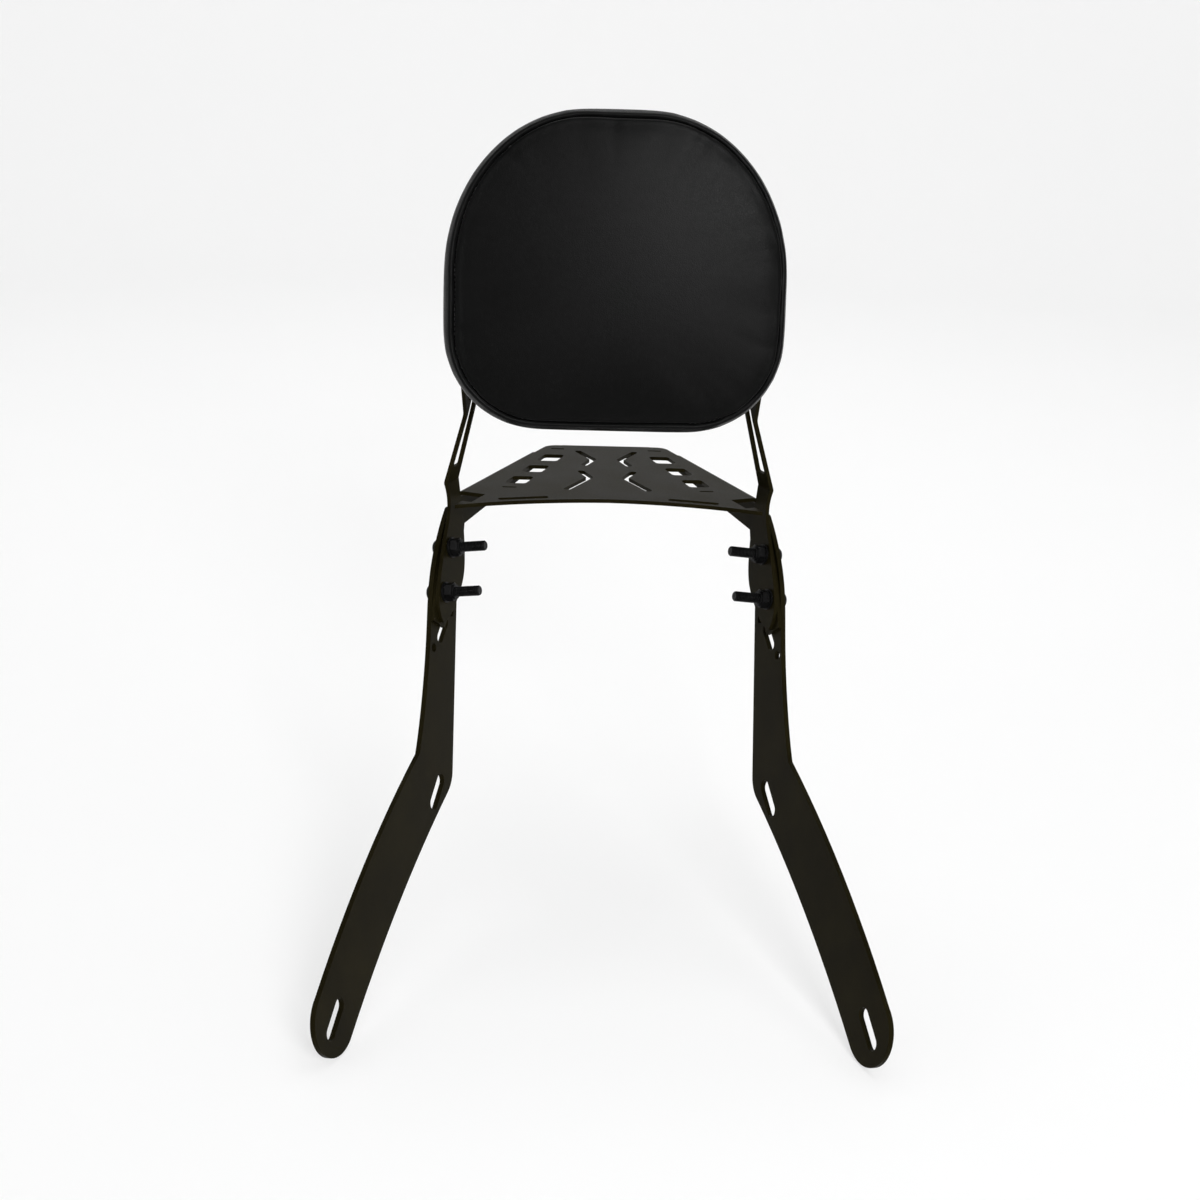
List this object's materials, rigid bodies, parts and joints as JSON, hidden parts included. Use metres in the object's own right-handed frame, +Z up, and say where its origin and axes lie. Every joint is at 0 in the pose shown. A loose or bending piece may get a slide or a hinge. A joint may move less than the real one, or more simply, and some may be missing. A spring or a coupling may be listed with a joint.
{
  "type": "motorcycle backrest with luggage rack",
  "caption": "Passenger backrest for a motorcycle: padded cushion on slim slotted uprights, a folded and pierced luggage rack behind it, and bent plate arms that bolt to the fender struts.",
  "frame": {"origin": "on the rack's flat top face, on the middle plane, just behind the middle of its front edge", "axes": "+Z up, out of the rack's top face; +Y to the rear of the motorcycle; +X to the right as seen from the front of the part"},
  "size_m": [0.394, 0.4914, 0.6171],
  "materials": {
    "powder_coat": "satin black powder coat",
    "pad_cover": "smooth black leatherette",
    "board": "fine grain",
    "black_steel": "black zinc plated",
    "zinc_steel": "zinc plated"
  },
  "bodies": {
    "root": {"luggage_rack": "powder_coat", "pad_cushion": "pad_cover", "pad_base_board": "board", "right_arm": "powder_coat", "right_upright": "powder_coat", "left_arm": "powder_coat", "left_upright": "powder_coat", "right_upper_clamp_bolt": "black_steel", "right_upper_clamp_washer": "black_steel", "right_upper_clamp_nut": "black_steel", "right_upper_pad_screw": "black_steel", "right_upper_pad_washer": "black_steel", "right_upper_tee_nut": "zinc_steel", "left_upper_clamp_bolt": "black_steel", "left_upper_clamp_washer": "black_steel", "left_upper_clamp_nut": "black_steel", "left_upper_pad_screw": "black_steel", "left_upper_pad_washer": "black_steel", "left_upper_tee_nut": "zinc_steel", "right_lower_clamp_bolt": "black_steel", "right_lower_clamp_washer": "black_steel", "right_lower_clamp_nut": "black_steel", "right_lower_pad_screw": "black_steel", "right_lower_pad_washer": "black_steel", "right_lower_tee_nut": "zinc_steel", "left_lower_clamp_bolt": "black_steel", "left_lower_clamp_washer": "black_steel", "left_lower_clamp_nut": "black_steel", "left_lower_pad_screw": "black_steel", "left_lower_pad_washer": "black_steel", "left_lower_tee_nut": "zinc_steel"}
  },
  "joints": []
}
